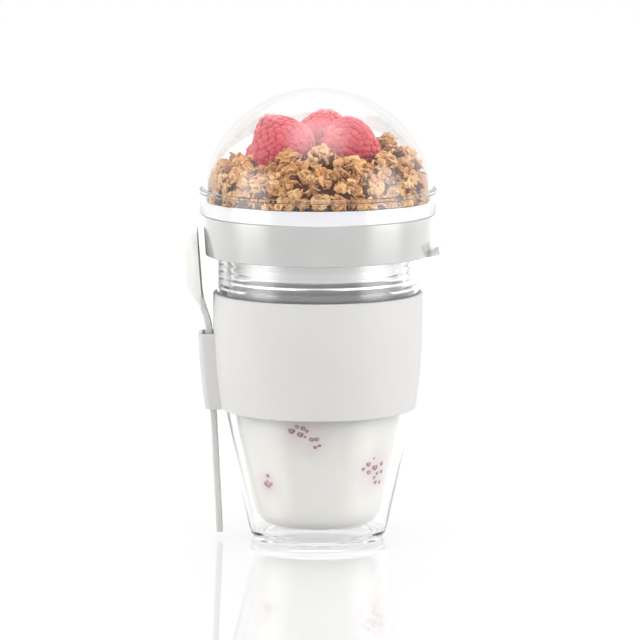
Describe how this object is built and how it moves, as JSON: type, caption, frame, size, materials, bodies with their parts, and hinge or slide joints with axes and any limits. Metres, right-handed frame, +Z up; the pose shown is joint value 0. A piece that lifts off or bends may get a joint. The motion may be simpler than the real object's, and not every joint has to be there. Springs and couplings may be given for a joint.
{
  "type": "yogurt jar",
  "caption": "Clear double-walled yogurt jar with a white sleeve and spoon, a white topping cup, and a clear dome over granola and raspberries.",
  "frame": {"origin": "middle of the tumbler's foot, on the table and on the jar's axis", "axes": "+Z up along the jar's axis, -Y towards the viewer, -X towards the spoon and its loop"},
  "size_m": [0.1104, 0.1004, 0.1918],
  "materials": {
    "clear_plastic": "gloss",
    "yogurt": "satin",
    "silicone": "matte",
    "white_plastic": "gloss",
    "spoon_plastic": "satin",
    "granola": "matte",
    "raspberry": "satin"
  },
  "bodies": {
    "root": {"cup_outer": "clear_plastic", "cup_inner": "clear_plastic", "dome": "clear_plastic", "yogurt": "yogurt", "band": "silicone", "topping_cup": "white_plastic", "spoon": "spoon_plastic", "granola": "granola", "raspberry_left": "raspberry", "raspberry_right": "raspberry", "raspberry_back": "raspberry", "raspberry_low": "raspberry"}
  },
  "joints": []
}
